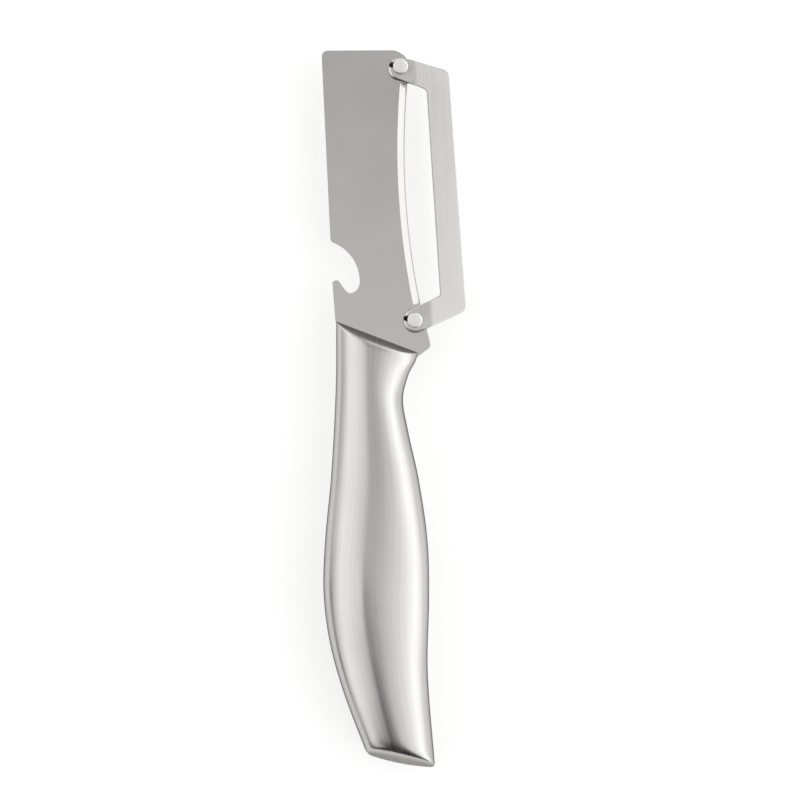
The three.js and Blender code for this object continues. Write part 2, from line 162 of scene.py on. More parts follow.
@dataclass(frozen=True)
class Datum:
    """Where the maker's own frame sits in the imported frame.

    Attributes:
        origin: The point at the spine, the handle's mouth and the blade's middle plane, in metres.
    """

    origin: Vector

    @classmethod
    def on_blade(cls, node: str, tang_length: float) -> Datum:
        """Finds the datum from the blade's CAD node, whose lowest point is a tang's length below the mouth."""
        low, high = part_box(node)
        return cls(Vector((low.x, low.y + tang_length * MM, (low.z + high.z) / 2)))

    def place(self, x: float, y: float, z: float) -> Vector:
        """Turns a point of the maker's frame, in millimetres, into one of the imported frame, in metres."""
        return self.origin + Vector((x, y, z)) * MM

    def read(self, point: Vector) -> Vector:
        """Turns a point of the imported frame, in metres, into one of the maker's frame, in millimetres."""
        return (point - self.origin) / MM


class Graph:
    """A node tree with short ways to add and join nodes."""

    COLOUR_MIX = (0, 6, 7)
    COLOUR_RESULT = 2

    def __init__(self, tree: NodeTree) -> None:
        """Starts from an empty tree."""
        self.tree = tree
        self.tree.nodes.clear()

    def add(self, kind: str, inputs: dict[str | int, object] | None = None, **settings: object) -> Node:
        """Adds a node.

        Args:
            kind: The node's type.
            inputs: Sockets to join to the node's inputs, or values for them, by name or place.
            settings: Properties to set on the node.

        Returns:
            The new node.
        """
        node = self.tree.nodes.new(kind)
        for key, value in settings.items():
            setattr(node, key, value)
        for key, value in (inputs or {}).items():
            if isinstance(value, NodeSocket):
                self.tree.links.new(value, node.inputs[key])
            else:
                node.inputs[key].default_value = value
        return node

    def math(self, operation: str, *values: Value, clamp: bool = False) -> NodeSocket:
        """Adds a Math node for sockets or numbers, whose result can be kept between 0 and 1."""
        inputs = dict(enumerate(values))
        return self.add("ShaderNodeMath", inputs, operation=operation, use_clamp=clamp).outputs["Value"]

    def times(self, first: Value, second: Value) -> NodeSocket:
        """Multiplies two values."""
        return self.math("MULTIPLY", first, second)

    def plus(self, first: Value, second: Value) -> NodeSocket:
        """Adds two values."""
        return self.math("ADD", first, second)

    def less(self, first: Value, second: Value) -> NodeSocket:
        """Takes the second value from the first."""
        return self.math("SUBTRACT", first, second)

    def vector(self, operation: str, first: NodeSocket, second: object) -> Node:
        """Adds a Vector Math node with two vectors."""
        return self.add("ShaderNodeVectorMath", {0: first, 1: second}, operation=operation)

    def mix(self, share: NodeSocket, first: object, second: object) -> NodeSocket:
        """Mixes two colours by the share of the second."""
        inputs = dict(zip(self.COLOUR_MIX, (share, first, second)))
        return self.add("ShaderNodeMix", inputs, data_type="RGBA").outputs[self.COLOUR_RESULT]

    def coordinates(self, kind: str) -> NodeSocket:
        """Adds texture coordinates of one kind."""
        return self.add("ShaderNodeTexCoord").outputs[kind]

    def noise(self, vector: NodeSocket, scale: float, detail: float, roughness: float) -> NodeSocket:
        """Adds a noise texture with finer octaves, as many as its detail and as strong as its roughness."""
        inputs = {"Vector": vector, "Scale": scale, "Detail": detail, "Roughness": roughness}
        return self.add("ShaderNodeTexNoise", inputs).outputs["Fac"]

    def ramp(
        self, value: NodeSocket, low: float, high: float, start: float = 0.0, end: float = 1.0
    ) -> NodeSocket:
        """Adds a smooth, clamped Map Range node that runs from start at low to end at high."""
        inputs = {"Value": value, "From Min": low, "From Max": high, "To Min": start, "To Max": end}
        return self.add("ShaderNodeMapRange", inputs, interpolation_type="SMOOTHSTEP").outputs["Result"]


class ShaderGroups:
    """Shader node groups that several finishes share.

    The noises are given as scale, detail and roughness, and the ramps as the values between which they rise.
    """

    STREAK_NOISE = (0.7, 2.0, 0.55)
    STREAK_RAMP = (0.3, 0.7)
    HAIRLINE_NOISE = (3.1, 2.0, 0.6)
    HAIRLINE_RAMP = (0.25, 0.75)
    SMUDGE_NOISE = (1.0, 3.0, 0.5)
    SMUDGE_RAMP = (0.35, 0.72)
    SCRATCH_NOISE = (0.6, 1.0, 0.4)
    SCRATCH_AREA_NOISE = (0.23, 1.0, 0.5)
    SCRATCH_AREA_RAMP = (0.52, 0.62)
    SCRATCH_WIDTH = 1.2 * MM
    SCRATCH_RUNS = ((0.42, 20.0 * MM, 0.0035), (-1.05, 14.0 * MM, 0.003))
    # Size of the painted shade under each open slot: its length along the slot, the fade of its rim, and the
    # heights over the middle plane where it fades in on the blade's front.
    SLOT_SHADE_LENGTH = 2.7 * MM
    SLOT_SHADE_RIM = (0.55 * MM, 0.95 * MM)
    SLOT_SHADE_FOOT = (0.2 * MM, 0.5 * MM)

    def __init__(self) -> None:
        """Builds the groups."""
        self.grinder_lines = self._grinder_lines()
        self.handling_marks = self._handling_marks()
        self.slot_painted_shade = self._slot_painted_shade()

    def _open(self, name: str, inputs: dict[str, float | None]) -> tuple[Graph, dict[str, NodeSocket]]:
        """Starts a group.

        Args:
            name: The group's name.
            inputs: Each input's name and default value, or None for a vector.

        Returns:
            The group's graph, and the sockets that its inputs arrive at.
        """
        tree = bpy.data.node_groups.new(name, "ShaderNodeTree")
        for key, default in inputs.items():
            kind = "NodeSocketVector" if default is None else "NodeSocketFloat"
            socket = tree.interface.new_socket(key, in_out="INPUT", socket_type=kind)
            if default is not None:
                socket.default_value = default
        graph = Graph(tree)
        arriving = graph.add("NodeGroupInput").outputs
        return graph, {key: arriving[key] for key in inputs}

    def _close(self, graph: Graph, outputs: dict[str, NodeSocket]) -> NodeTree:
        """Ends a group.

        Args:
            graph: The group's graph.
            outputs: Each output's name, and the socket that it shows.

        Returns:
            The group.
        """
        for key in outputs:
            graph.tree.interface.new_socket(key, in_out="OUTPUT", socket_type="NodeSocketFloat")
        graph.add("NodeGroupOutput", outputs)
        return graph.tree

    def _grinder_lines(self) -> NodeTree:
        """Lines that a belt leaves along y: broad streaks, and hairlines between them.

        Returns:
            The group.
        """
        graph, given = self._open("grinder_lines", {"Vector": None, "Width": 0.5 * MM, "Length": 50.0 * MM})
        across = graph.math("DIVIDE", 1.0, given["Width"])
        along = graph.math("DIVIDE", 1.0, given["Length"])
        scale = graph.add("ShaderNodeCombineXYZ", {"X": across, "Y": along, "Z": across}).outputs["Vector"]
        stretched = graph.vector("MULTIPLY", given["Vector"], scale).outputs["Vector"]
        streaks = graph.ramp(graph.noise(stretched, *self.STREAK_NOISE), *self.STREAK_RAMP)
        hairlines = graph.ramp(graph.noise(stretched, *self.HAIRLINE_NOISE), *self.HAIRLINE_RAMP)
        return self._close(graph, {"Streaks": streaks, "Hairlines": hairlines})

    def _handling_marks(self) -> NodeTree:
        """Marks of use: cloudy smudges, and stray scratches in two directions.

        Returns:
            The group.
        """
        graph, given = self._open("handling_marks", {"Vector": None, "Smudge Size": 14.0 * MM})
        inputs = {0: given["Vector"], "Scale": graph.math("DIVIDE", 1.0, given["Smudge Size"])}
        spread = graph.add("ShaderNodeVectorMath", inputs, operation="SCALE").outputs["Vector"]
        smudges = graph.ramp(graph.noise(spread, *self.SMUDGE_NOISE), *self.SMUDGE_RAMP)
        runs = [self._scratches(graph, given["Vector"], *run) for run in self.SCRATCH_RUNS]
        return self._close(graph, {"Smudges": smudges, "Scratches": graph.math("MAXIMUM", *runs)})

    def _scratches(
        self, graph: Graph, where: NodeSocket, turn: float, reach: float, width: float
    ) -> NodeSocket:
        """Adds scratches in one direction.

        Args:
            graph: The group's graph.
            where: Where the scratches are read.
            turn: Their turn from y, in radians.
            reach: Their length, in metres.
            width: How much of the noise is scratch.

        Returns:
            How much of a scratch there is.
        """
        scale = (self.SCRATCH_WIDTH, reach, self.SCRATCH_WIDTH)
        inputs = {"Vector": where, "Rotation": (0.0, 0.0, turn), "Scale": scale}
        turned = graph.add("ShaderNodeMapping", inputs, vector_type="TEXTURE").outputs["Vector"]
        distance = graph.math("ABSOLUTE", graph.less(graph.noise(turned, *self.SCRATCH_NOISE), 0.5))
        here = graph.ramp(graph.noise(turned, *self.SCRATCH_AREA_NOISE), *self.SCRATCH_AREA_RAMP)
        return graph.times(graph.ramp(distance, 0.0, width, 1.0, 0.0), here)

    def _slot_painted_shade(self) -> NodeTree:
        """Painted shade on the blade's front under the open slot beside a rivet, standing in for the slot's
        shadow.

        Returns:
            The group.
        """
        graph, given = self._open("slot_painted_shade", {"Vector": None, "Rivet": None})
        from_rivet = graph.vector("SUBTRACT", given["Vector"], given["Rivet"]).outputs["Vector"]
        along, aside, up = (
            graph.vector("DOT_PRODUCT", from_rivet, way).outputs["Value"]
            for way in (SLOT_AXIS, (SLOT_AXIS.y, -SLOT_AXIS.x, 0.0), (0.0, 0.0, 1.0))
        )
        past = graph.less(along, graph.math("MINIMUM", graph.math("MAXIMUM", along, 0.0), self.SLOT_SHADE_LENGTH))
        square = graph.plus(graph.times(past, past), graph.times(aside, aside))
        close = graph.ramp(graph.math("SQRT", square), *self.SLOT_SHADE_RIM, 1.0, 0.0)
        return self._close(graph, {"PaintedShade": graph.times(close, graph.ramp(up, *self.SLOT_SHADE_FOOT))})


@dataclass(frozen=True)
class SteelFinish:
    """One finish of stainless steel.

    Attributes:
        name: The material's name.
        light: Colour of the crests between lines.
        dark: Colour in the lines.
        roughness: Roughness of the plain surface.
        swing: How much the lines change the roughness.
        line_width: Width of a streak.
        line_length: Length of a streak.
        line_depth: Depth of the lines.
        turn: Turn of the lines from the tool's length.
        smudge: How much smudges dull the surface.
        scratch: How much scratches show.
        grazing: How much of the light a grazing reflection keeps.
        source: What the lines follow.
    """

    # Near-black painted shade for the shadow in each open slot of the guard.
    SLOT_SHADE_COLOUR = (0.03, 0.028, 0.025, 1.0)
    STREAK_SHARE = 0.6
    DULLING = 0.3

    name: str
    light: Colour
    dark: Colour
    roughness: float
    swing: float
    line_width: float
    line_length: float
    line_depth: float
    turn: float = 0.0
    smudge: float = 0.05
    scratch: float = 0.1
    grazing: float = 0.12
    source: GrainSource = GrainSource.PLACE

    def material(self, groups: ShaderGroups, shaded_slots: tuple[Vector, ...] = ()) -> Material:
        """Makes the finish's material.

        Args:
            groups: The shared shader groups.
            shaded_slots: Middles of rivets beside which the open slot gets painted shade.

        Returns:
            The material.
        """
        made = bpy.data.materials.new(self.name)
        made.use_nodes = True
        graph = Graph(made.node_tree)
        where = self._where(graph)
        sizes = {"Vector": where, "Width": self.line_width * MM, "Length": self.line_length * MM}
        lines = graph.add("ShaderNodeGroup", sizes, node_tree=groups.grinder_lines).outputs
        marks = graph.add("ShaderNodeGroup", {"Vector": where}, node_tree=groups.handling_marks).outputs
        streaks = graph.times(lines["Streaks"], self.STREAK_SHARE)
        grain = graph.plus(streaks, graph.times(lines["Hairlines"], 1 - self.STREAK_SHARE))
        colour = graph.mix(grain, (*self.dark, 1.0), (*self.light, 1.0))
        rough = graph.plus(self.roughness - self.swing / 2, graph.times(grain, self.swing))
        rough = graph.plus(rough, graph.times(marks["Smudges"], self.smudge))
        # Paints shade under the open slot beside each rivet: a near-black colour and a duller surface there.
        for rivet in shaded_slots:
            spot = {"Vector": graph.coordinates("Object"), "Rivet": rivet}
            slot_shade = graph.add("ShaderNodeGroup", spot, node_tree=groups.slot_painted_shade).outputs["PaintedShade"]
            colour = graph.mix(slot_shade, colour, self.SLOT_SHADE_COLOUR)
            rough = graph.plus(rough, graph.times(slot_shade, self.DULLING))
        dulled = graph.times(marks["Scratches"], self.scratch * self.DULLING)
        height = graph.less(grain, graph.times(marks["Scratches"], self.scratch))
        relief = {"Strength": 1.0, "Distance": self.line_depth * MM, "Height": height}
        inputs = {
            "Base Color": colour,
            "Metallic": 1.0,
            "Roughness": graph.math("ADD", rough, dulled, clamp=True),
            "Specular Tint": (self.grazing, self.grazing, self.grazing, 1.0),
            "Normal": graph.add("ShaderNodeBump", relief).outputs["Normal"],
        }
        shader = graph.add("ShaderNodeBsdfPrincipled", inputs)
        graph.add("ShaderNodeOutputMaterial", {"Surface": shader.outputs["BSDF"]})
        return made

    def _where(self, graph: Graph) -> NodeSocket:
        """Adds the coordinates that the lines follow.

        Args:
            graph: The material's graph.

        Returns:
            The coordinates, turned so that lines run along y.
        """
        if self.source is GrainSource.SKIN:
            return graph.add("ShaderNodeUVMap", uv_map=HandleShell.SKIN_MAP).outputs["UV"]
        turn = (0.0, 0.0, math.radians(self.turn))
        inputs = {"Vector": graph.coordinates("Object"), "Rotation": turn}
        return graph.add("ShaderNodeMapping", inputs).outputs["Vector"]


BLADE_FINISH = SteelFinish(
    name="satin_blade_steel",
    light=(0.695, 0.685, 0.66),
    dark=(0.67, 0.66, 0.638),
    roughness=0.22,
    swing=0.02,
    line_width=0.16,
    line_length=22.0,
    line_depth=0.0001,
    turn=90.0,
    scratch=0.04,
)
HONED_FINISH = SteelFinish(
    name="honed_edge_steel",
    light=(0.66, 0.65, 0.635),
    dark=(0.60, 0.59, 0.575),
    roughness=0.28,
    swing=0.06,
    line_width=0.12,
    line_length=1.2,
    line_depth=0.0004,
    turn=90.0,
)
GROUND_FINISH = SteelFinish(
    name="ground_edge_steel",
    light=(0.60, 0.595, 0.58),
    dark=(0.54, 0.535, 0.52),
    roughness=0.24,
    swing=0.08,
    line_width=0.30,
    line_length=6.0,
    line_depth=0.0008,
    turn=90.0,
)
GUARD_FINISH = SteelFinish(
    name="satin_guard_steel",
    light=(0.76, 0.75, 0.73),
    dark=(0.73, 0.72, 0.70),
    roughness=0.26,
    swing=0.06,
    line_width=0.35,
    line_length=40.0,
    line_depth=0.00015,
    grazing=0.1,
)
RIVET_FINISH = SteelFinish(
    name="bright_rivet_steel",
    light=(0.97, 0.965, 0.95),
    dark=(0.88, 0.875, 0.86),
    roughness=0.50,
    swing=0.10,
    line_width=0.30,
    line_length=1.6,
    line_depth=0.003,
    turn=10.0,
)
HANDLE_FINISH = SteelFinish(
    name="brushed_handle_steel",
    light=(0.61, 0.60, 0.58),
    dark=(0.55, 0.54, 0.52),
    roughness=0.20,
    swing=0.08,
    line_width=0.40,
    line_length=55.0,
    line_depth=0.0018,
    source=GrainSource.SKIN,
)


@dataclass
class Piece:
    """What every piece of the knife shares.

    Attributes:
        datum: Where the maker's frame sits.
        name: The piece's name.
        node: The CAD node that it stands for.
        body: The body that it rides on.
        slot: The record's slot that its finish stands for; nothing in this script reads it.
        crease: Angle past which an edge stays sharp.
        doubles: Distance within which points become one.
    """

    COPLANAR = 0.3

    datum: Datum
    name: str
    node: str
    body: Body
    slot: Slot
    crease: float = 31.0
    doubles: float = 0.002

    def hand_over(self, mesh: BMesh, *finishes: Material) -> Object:
        """Turns a finished bmesh into the piece's object, on its body.

        Args:
            mesh: The piece's mesh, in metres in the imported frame. It is freed.
            finishes: Materials in the order of the faces' material indices.

        Returns:
            The piece's object.
        """
        mesh.normal_update()
        for face in mesh.faces:
            face.smooth = True
        for edge in mesh.edges:
            one_finish = len({face.material_index for face in edge.link_faces}) == 1
            edge.smooth = one_finish and edge.calc_face_angle(math.pi) < math.radians(self.crease)
        data = bpy.data.meshes.new(self.name)
        mesh.to_mesh(data)
        mesh.free()
        for finish in finishes:
            data.materials.append(finish)
        made = bpy.data.objects.new(self.name, data)
        bpy.context.scene.collection.objects.link(made)
        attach(made, self.body.value)
        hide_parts(self.node)
        LOG.info("%s: %d faces, stands for %s", self.name, len(data.polygons), self.node)
        return made

    def merged_copy(self) -> BMesh:
        """Copies the CAD node's mesh, with its loose triangles merged into whole faces.

        Returns:
            The copy.
        """
        mesh = bmesh.new()
        mesh.from_mesh(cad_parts[self.node].data)
        bmesh.ops.remove_doubles(mesh, verts=mesh.verts, dist=self.doubles * MM)
        limit = math.radians(self.COPLANAR)
        bmesh.ops.dissolve_limit(
            mesh, angle_limit=limit, verts=mesh.verts, edges=mesh.edges, delimit={"NORMAL"}
        )
        return mesh

    def close(self, mesh: BMesh) -> None:
        """Joins a mesh where its points meet, and turns its faces outwards."""
        bmesh.ops.remove_doubles(mesh, verts=mesh.verts, dist=self.doubles * MM)
        bmesh.ops.recalc_face_normals(mesh, faces=mesh.faces)

    def ease_edges(
        self, mesh: BMesh, edges: list[BMEdge], radius: float, segments: int = 2, clamp: bool = True
    ) -> None:
        """Rounds sharp edges over. With the clamp, a short edge anywhere makes the whole rounding smaller."""
        shape = {"offset": radius * MM, "segments": segments, "profile": 0.5}
        bmesh.ops.bevel(mesh, geom=edges, affect="EDGES", material=-1, clamp_overlap=clamp, **shape)

    def keep_flats_flat(self, made: Object) -> None:
        """Weighs normals by face area, so that rounded edges don't shade the flats beside them."""
        weighted = made.modifiers.new("flats", "WEIGHTED_NORMAL")
        weighted.keep_sharp = True


@dataclass
class Blade(Piece):
    """The blade plate: the stamped plate with its ground edge.

    The corner moves are given as x, y and the move in both, the tip's corner as x, y and radius, and the
    humps of the opener's hook and of its notch's floor as height, middle and half width along x.
    """

    SATIN, GROUND, HONED = range(3)
    CUT = 0.001
    CUT_MATCH = 0.01

    name: str = "blade"
    node: str = "blade_plate"
    body: Body = Body.KNIFE
    slot: Slot = Slot.BLADE
    tang_length: float = 46.0
    edge_rounding: float = 0.26
    sharp_angle: float = 40.0
    land_height: float = 0.3
    land_steepness: float = 0.5
    ground_slope: tuple[float, float] = (0.6, 0.97)
    mouth_tilt: float = 23.6
    shoulder_reach: float = 0.5
    shoulder_sink: float = 0.6
    corner_moves: tuple[tuple[float, float, float, float], ...] = (
        (0.0, 0.15, 0.35, -0.95), (24.5, -10.55, -1.9, -0.5), (24.5, -11.5, -1.24, -0.84),
    )
    corner_match: float = 0.1
    honed_height: float = 0.3
    honed_out: float = 0.12
    tip_corner: tuple[float, float, float] = (20.90, 73.62, 4.6)
    tip_match: float = 0.05
    tip_trim: Line = ((0, 0.0), (30, 0.4), (60, 0.55), (91, 0.25))
    hook_across: tuple[float, float] = (0.0, 7.7)
    hook_along: tuple[float, float] = (7.5, 11.8)
    hook_hump: tuple[float, float, float] = (0.5, 2.2, 2.6)
    hook_root: float = 0.4
    notch_hump: tuple[float, float, float] = (0.35, 5.4, 2.2)

    def build(self, rivets: list[Vector], groups: ShaderGroups) -> None:
        """Builds the blade and dresses it.

        Args:
            rivets: Middles of the rivets, at the blade's middle plane.
            groups: The shared shader groups.
        """
        mesh = self.merged_copy()
        mesh.normal_update()
        self._seat_shoulders(mesh)
        self._trim_outline(mesh)
        for face in mesh.faces:
            face.material_index = self.GROUND if self._is_ground(face) else self.SATIN
        self._hone(mesh)
        mesh.normal_update()
        self.ease_edges(mesh, [edge for edge in mesh.edges if self._is_stamped(edge)], self.edge_rounding)
        # The satin finish paints shade under the guard's open slots beside the rivets.
        satin = BLADE_FINISH.material(groups, tuple(rivets))
        made = self.hand_over(mesh, satin, GROUND_FINISH.material(groups), HONED_FINISH.material(groups))
        self.keep_flats_flat(made)

    def _seat_shoulders(self, mesh: BMesh) -> None:
        """Runs the blade's shoulders into the handle's mouth, where the weld closes the joint.

        Args:
            mesh: The blade's mesh.
        """
        for vertex in mesh.verts:
            x, y, _ = self.datum.read(vertex.co)
            nearest = min(self.corner_moves, key=lambda move: math.hypot(move[0] - x, move[1] - y))
            if math.hypot(nearest[0] - x, nearest[1] - y) < self.corner_match:
                vertex.co += Vector((nearest[2], nearest[3], 0.0)) * MM
            elif abs(y + x * slope(self.mouth_tilt)) < self.shoulder_reach:
                vertex.co.y -= self.shoulder_sink * MM

    def _trim_outline(self, mesh: BMesh) -> None:
        """Flattens the tip's corner beside the guard, and thickens the opener's hook.

        Args:
            mesh: The blade's mesh.
        """
        corner_x, corner_y, radius = self.tip_corner
        left, right = self.hook_across
        bottom, top = self.hook_along
        for vertex in mesh.verts:
            x, y, _ = self.datum.read(vertex.co)
            if y > corner_y and abs(math.hypot(x - corner_x, y - corner_y) - radius) < self.tip_match:
                turn = math.atan2(y - corner_y, x - corner_x)
                trim = follow(self.tip_trim, math.degrees(turn)) * MM
                vertex.co -= Vector((math.cos(turn), math.sin(turn), 0.0)) * trim
            elif left < x < right and bottom < y < top:
                out = hump(*self.hook_hump, x) * min(x / self.hook_root, 1.0)
                down = hump(*self.notch_hump, x)
                vertex.co += Vector((out, -down, 0.0)) * MM

    def _hone(self, mesh: BMesh) -> None:
        """Hones the cutting edge: a narrow, steeper strip along the foot of the ground bevel.

        Args:
            mesh: The blade's mesh.
        """
        ground = [face for face in mesh.faces if face.material_index == self.GROUND]
        top = min(vertex.co.z for face in ground for vertex in face.verts) + self.honed_height * MM
        edges = {edge for face in ground for edge in face.edges}
        verts = {vertex for face in ground for vertex in face.verts}
        plane = {"plane_co": (0.0, 0.0, top), "plane_no": (0.0, 0.0, 1.0)}
        bmesh.ops.bisect_plane(mesh, geom=[*ground, *edges, *verts], dist=self.CUT * MM, **plane)
        match = self.CUT_MATCH * MM
        shoulder = set()
        for face in mesh.faces:
            if face.material_index == self.GROUND and max(vertex.co.z for vertex in face.verts) < top + match:
                face.material_index = self.HONED
                shoulder |= {vertex for vertex in face.verts if vertex.co.z > top - match}
        for vertex in shoulder:
            vertex.co.x += self.honed_out * MM

    def _is_ground(self, face: BMFace) -> bool:
        """Tells whether a face belongs to the ground bevel, which slopes towards the guard."""
        low, high = self.ground_slope
        return low < face.normal.z < high

    def _is_stamped(self, edge: BMEdge) -> bool:
        """Tells whether an edge is a sharp one of the stamped outline, not of the ground edge.

        Args:
            edge: The edge.

        Returns:
            Whether the edge gets rounded.
        """
        if len(edge.link_faces) != 2 or edge.calc_face_angle(0.0) < math.radians(self.sharp_angle):
            return False
        for face in edge.link_faces:
            heights = [vertex.co.z for vertex in face.verts]
            thin = max(heights) - min(heights) < self.land_height * MM
            if self._is_ground(face) or (thin and abs(face.normal.z) < self.land_steepness):
                return False
        return True


@dataclass
class PeelGuard(Piece):
    """The peel guard: one bent strip with two slotted ears.

    The inner corners are given as x, y, how far they move out and along, and the radius they get. The slot's
    lengths are measured from the rivet: of its walls, of what keeps its place, and of its open mouth.
    """

    SLIVER = 0.08
    RING = 0.01
    RING_DOUBLES = 0.004

    name: str = "guard"
    node: str = "peel_guard"
    body: Body = Body.GUARD
    slot: Slot = Slot.GUARD
    front_rounding: float = 0.25
    rear_rounding: float = 0.15
    sharp_angle: float = 50.0
    facing: float = 0.9
    flat_angle: float = 0.6
    ear_facing: float = 0.99
    ear_area: float = 20.0
    ear_clearance: float = 0.3
    ear_reach: float = 0.8
    ear_drop: float = 0.72
    bend_margin: float = 0.5
    inner_corners: tuple[tuple[float, float, float, float, float], ...] = (
        (29.93, 66.04, 0.42, -0.11, 1.1), (31.17, 5.61, 0.3, 0.12, 0.45),
    )
    corner_area: float = 1.0
    corner_segments: int = 6
    straight_length: float = 1.0
    slot_half_width: float = 0.95
    slot_wall: float = 3.0
    slot_kept: float = 3.1
    slot_mouth: float = 4.5
    wall_length: float = 2.0
    wall_split: float = 1.05
    steepest: float = 0.5
    rounding_steps: tuple[float, ...] = (0.08, 0.12, 0.17, 0.25, 0.38)

    def build(self, rivets: list[Vector], groups: ShaderGroups) -> None:
        """Builds the guard and dresses it.

        Args:
            rivets: Middles of the rivets that its ears sit on.
            groups: The shared shader groups.
        """
        mesh = self.merged_copy()
        bmesh.ops.dissolve_degenerate(mesh, dist=self.SLIVER * MM, edges=mesh.edges)
        mesh.normal_update()
        ears = [face for face in mesh.faces if self._is_ear(face)]
        bends = [max((vertex.co for vertex in ear.verts), key=lambda point: point.x).copy() for ear in ears]
        for ear in ears:
            middle = ear.calc_center_median()
            self._press_ear(mesh, ear, min(rivets, key=lambda rivet: (rivet - middle).length))
        arms = [edge for edge in mesh.edges if self._is_past_ears(edge, bends)]
        bmesh.ops.dissolve_limit(mesh, angle_limit=math.radians(self.flat_angle), verts=[], edges=arms)
        self._round_corners(mesh)
        for side, radius in ((Side.FRONT, self.front_rounding), (Side.REAR, self.rear_rounding)):
            mesh.normal_update()
            sharp = [edge for edge in mesh.edges if self._is_sheared(edge, bends, side)]
            self.ease_edges(mesh, sharp, radius, clamp=False)
        self.keep_flats_flat(self.hand_over(mesh, GUARD_FINISH.material(groups)))

    def _is_ear(self, face: BMFace) -> bool:
        """Tells whether a face is the flat front of an ear."""
        return face.normal.z > self.ear_facing and face.calc_area() > self.ear_area * MM * MM

    def _in_slot(self, point: Vector, rivet: Vector, reach: float) -> bool:
        """Tells whether a point lies on the slot round a rivet.

        Args:
            point: The point.
            rivet: Middle of the rivet.
            reach: How far from the rivet the slot counts.

        Returns:
            Whether it does.
        """
        from_rivet = point - rivet
        along = from_rivet.dot(SLOT_AXIS) / MM
        aside = abs(from_rivet.x * SLOT_AXIS.y - from_rivet.y * SLOT_AXIS.x) / MM
        return aside < self.slot_half_width and -self.slot_half_width < along < reach

    def _is_past_ears(self, edge: BMEdge, bends: list[Vector]) -> bool:
        """Tells whether an edge lies on the arms or the bar, clear of where the ears bend into the arms."""
        nearest = [min(bends, key=lambda bend: abs(bend.y - end.co.y)) for end in edge.verts]
        return all(end.co.x >= bend.x + self.ear_clearance * MM for end, bend in zip(edge.verts, nearest))

    def _is_sheared(self, edge: BMEdge, bends: list[Vector], side: Side) -> bool:
        """Tells whether an edge of the arms or the bar is a sharp one of the front or the rear.

        Args:
            edge: The edge.
            bends: Where the ears bend into the arms.
            side: Front or rear.

        Returns:
            Whether it is.
        """
        if edge.calc_face_angle(0.0) < math.radians(self.sharp_angle):
            return False
        towards = max(side.value * face.normal.z for face in edge.link_faces)
        return towards >= self.facing and self._is_past_ears(edge, bends)

    def _round_corners(self, mesh: BMesh) -> None:
        """Sets out and rounds the two inner corners of the frame that the peel passes through.

        Args:
            mesh: The guard's mesh.
        """
        for x, y, out, along, radius in self.inner_corners:
            corner = self.datum.place(x, y, 0.0)
            near = self._near(mesh, corner)
            middle = sum(vertex.co.z for vertex in near) / len(near)
            front = {vertex for vertex in near if vertex.co.z > middle}
            for half in (front, set(near) - front):
                self._gather(mesh, half)
            mesh.normal_update()
            ends = self._near(mesh, corner)
            for vertex in ends:
                flat = max((face.normal for face in vertex.link_faces), key=lambda normal: abs(normal.z))
                move = Vector((out, along, -(flat.x * out + flat.y * along) / flat.z))
                vertex.co += move * MM
            upright = [edge for edge in ends[0].link_edges if edge.other_vert(ends[0]) is ends[1]]
            self.ease_edges(mesh, upright, radius, self.corner_segments)

    def _near(self, mesh: BMesh, corner: Vector) -> list[BMVert]:
        """Lists the mesh's points above and below a corner."""
        return [vertex for vertex in mesh.verts if (vertex.co - corner).xy.length < self.corner_area * MM]

    def _gather(self, mesh: BMesh, points: set[BMVert]) -> None:
        """Gathers a small corner arc to the point where the straight edges beside it meet.

        Args:
            mesh: The guard's mesh.
            points: The arc's points.
        """
        sides = [
            (vertex.co.copy(), edge.other_vert(vertex).co.copy())
            for vertex in points
            for edge in vertex.link_edges
            if edge.other_vert(vertex) not in points
            and edge.calc_face_angle(0.0) > math.radians(self.sharp_angle)
            and (edge.other_vert(vertex).co - vertex.co).xy.length > self.straight_length * MM
        ]
        first, second = intersect_line_line(*sides[0], *sides[1])
        bmesh.ops.pointmerge(mesh, verts=list(points), merge_co=(first + second) / 2)

    def _press_ear(self, mesh: BMesh, ear: BMFace, rivet: Vector) -> None:
        """Rounds an ear's front over towards its free end, ring by ring.

        Args:
            mesh: The guard's mesh.
            ear: The ear's flat front face.
            rivet: Middle of the rivet in the ear's slot.
        """
        reach = self.ear_reach
        for edge in list(ear.edges):
            inner, outer = sorted(edge.verts, key=lambda vertex: (vertex.co - rivet).dot(SLOT_AXIS))
            if self._in_slot(inner.co, rivet, self.slot_wall) and edge.calc_length() > self.wall_length * MM:
                bmesh.utils.edge_split(edge, outer, reach * self.wall_split * MM / edge.calc_length())
        bend = max(vertex.co.x for vertex in ear.verts) - self.bend_margin * MM
        outline = [vertex.co.copy() for vertex in ear.verts]
        ways = [self._inward(vertex, ear, rivet, bend) for vertex in ear.verts]
        inset = 0.0
        rings = list(ear.verts)
        for part in (0.0, *self.rounding_steps):
            if part:
                bmesh.ops.inset_individual(mesh, faces=[ear], thickness=self.RING * MM)
                rings += ear.verts
            inset += part * reach
            drop = self.ear_drop * (1 - math.sqrt(1 - (1 - inset / reach) ** 2))
            for vertex, at, way in zip(ear.verts, outline, ways):
                vertex.co = at + way * inset * MM
                if way.length:
                    vertex.co.z -= drop * MM
        bmesh.ops.remove_doubles(mesh, verts=rings, dist=self.RING_DOUBLES * MM)

